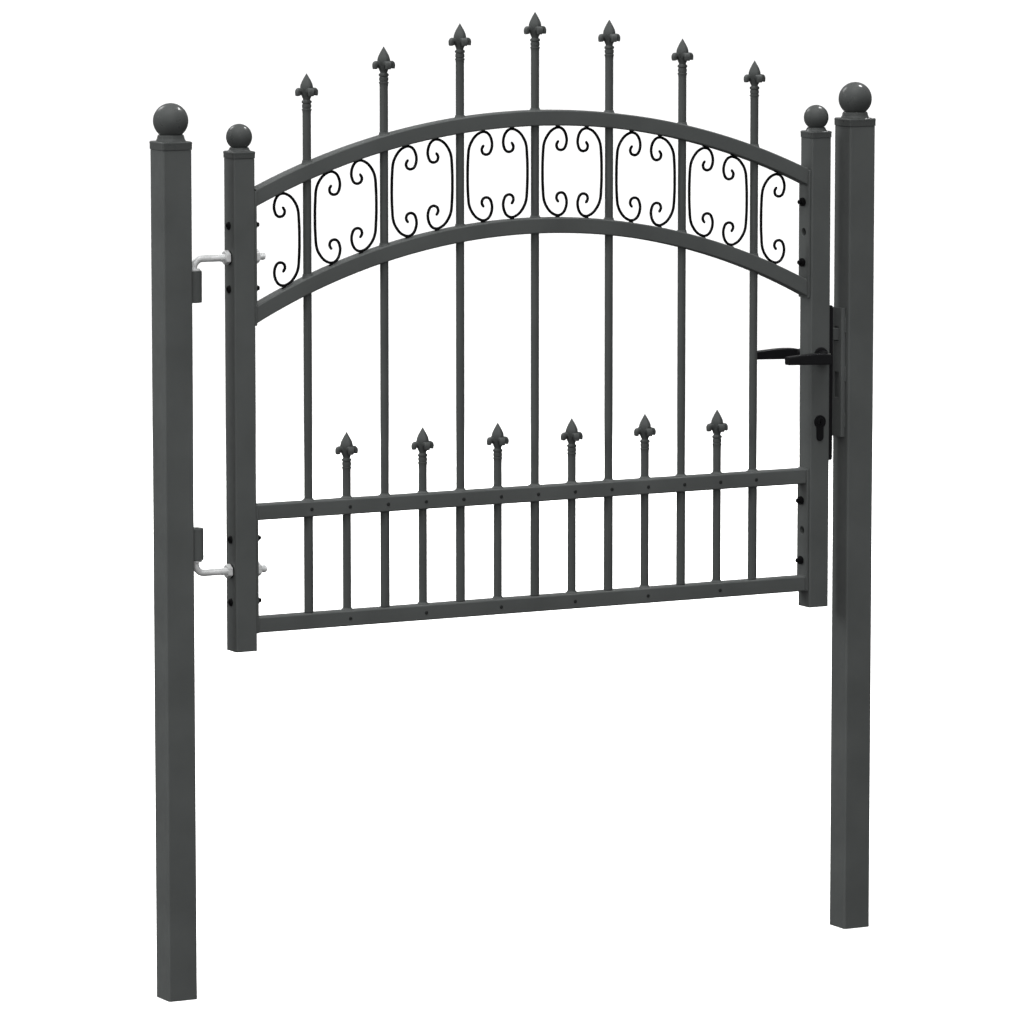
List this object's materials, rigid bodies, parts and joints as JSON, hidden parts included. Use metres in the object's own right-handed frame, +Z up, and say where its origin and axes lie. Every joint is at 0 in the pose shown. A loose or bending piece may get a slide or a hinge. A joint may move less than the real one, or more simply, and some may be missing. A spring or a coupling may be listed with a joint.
{
  "type": "garden gate",
  "caption": "Arched tubular steel garden gate with scrollwork and spear tops, hung between two square ball-capped posts, with lever latch and cylinder lock.",
  "frame": {"origin": "midway between the two posts, level with their lower ends", "axes": "+X along the closed leaf from hinges to lock, +Y towards the garden side, +Z up"},
  "size_m": [1.0472, 0.096, 1.243],
  "materials": {
    "anthracite_paint": "satin powder coat, anthracite grey",
    "cap_plastic": "satin to gloss, anthracite grey",
    "scroll_black": "satin black paint",
    "zinc_steel": "zinc-plated steel",
    "lock_steel": "nickel-plated steel",
    "handle_black": "satin black",
    "lock_black": "satin black coating"
  },
  "bodies": {
    "posts": {"left_post": "anthracite_paint", "right_post": "anthracite_paint", "left_post_cap": "cap_plastic", "right_post_cap": "cap_plastic", "hinge_socket_upper": "anthracite_paint", "hinge_socket_lower": "anthracite_paint", "strike_keep": "anthracite_paint"},
    "leaf": {"left_stile": "anthracite_paint", "right_stile": "anthracite_paint", "left_stile_cap": "cap_plastic", "right_stile_cap": "cap_plastic", "upper_arch_rail": "anthracite_paint", "lower_arch_rail": "anthracite_paint", "middle_rail": "anthracite_paint", "bottom_rail": "anthracite_paint", "left_strip_upper": "anthracite_paint", "left_strip_lower": "anthracite_paint", "right_strip_upper": "anthracite_paint", "right_strip_lower": "anthracite_paint", "long_picket_1": "anthracite_paint", "long_picket_2": "anthracite_paint", "long_picket_3": "anthracite_paint", "long_picket_4": "anthracite_paint", "long_picket_5": "anthracite_paint", "long_picket_6": "anthracite_paint", "long_picket_7": "anthracite_paint", "short_picket_1": "anthracite_paint", "short_picket_2": "anthracite_paint", "short_picket_3": "anthracite_paint", "short_picket_4": "anthracite_paint", "short_picket_5": "anthracite_paint", "short_picket_6": "anthracite_paint", "scroll_1": "scroll_black", "scroll_2": "scroll_black", "scroll_3": "scroll_black", "scroll_4": "scroll_black", "scroll_5": "scroll_black", "scroll_6": "scroll_black", "scroll_7": "scroll_black", "scroll_8": "scroll_black", "scroll_9": "scroll_black", "scroll_10": "scroll_black", "scroll_11": "scroll_black", "scroll_12": "scroll_black", "scroll_13": "scroll_black", "scroll_14": "scroll_black", "hook_bolt_upper": "zinc_steel", "hook_bolt_lower": "zinc_steel", "hook_nut_outer_upper": "zinc_steel", "hook_nut_outer_lower": "zinc_steel", "hook_nut_inner_upper": "zinc_steel", "hook_nut_inner_lower": "zinc_steel", "lock_case": "lock_black", "lock_cylinder": "lock_black"},
    "handle": {"lever_front": "handle_black", "lever_back": "handle_black", "lever_spindle": "lock_steel"},
    "latch": {"latch_bolt": "lock_steel"},
    "dead_bolt": {"dead_bolt": "lock_steel"},
    "key_plug": {"cylinder_plug": "lock_steel"}
  },
  "joints": [
    {"name": "leaf_swing", "type": "hinge", "parent": "posts", "child": "leaf", "pos_m": [-0.4711, 0, 0.7435], "axis": [0, 0, -1], "range_deg": [0, 100]},
    {"name": "handle_turn", "type": "hinge", "parent": "leaf", "child": "handle", "pos_m": [0.4415, 0, 0.779], "axis": [0, -1, 0], "range_deg": [0, 40], "stiffness_Nm_per_rad": 0.8, "springref_deg": -34.38},
    {"name": "latch_slide", "type": "slide", "parent": "leaf", "child": "latch", "axis": [-1, 0, 0], "range_m": [0, 0.015]},
    {"name": "key_turn", "type": "hinge", "parent": "leaf", "child": "key_plug", "pos_m": [0.4407, 0, 0.6904], "axis": [0, 1, 0], "range_deg": [0, 360]},
    {"name": "deadbolt_slide", "type": "slide", "parent": "leaf", "child": "dead_bolt", "axis": [1, 0, 0], "range_m": [0, 0.016]}
  ],
  "couplings": [
    {"joint": "latch_slide", "follows": "handle_turn", "m_per_rad": 0.0214},
    {"joint": "key_turn", "follows": "deadbolt_slide", "rad_per_m": 392.6}
  ]
}
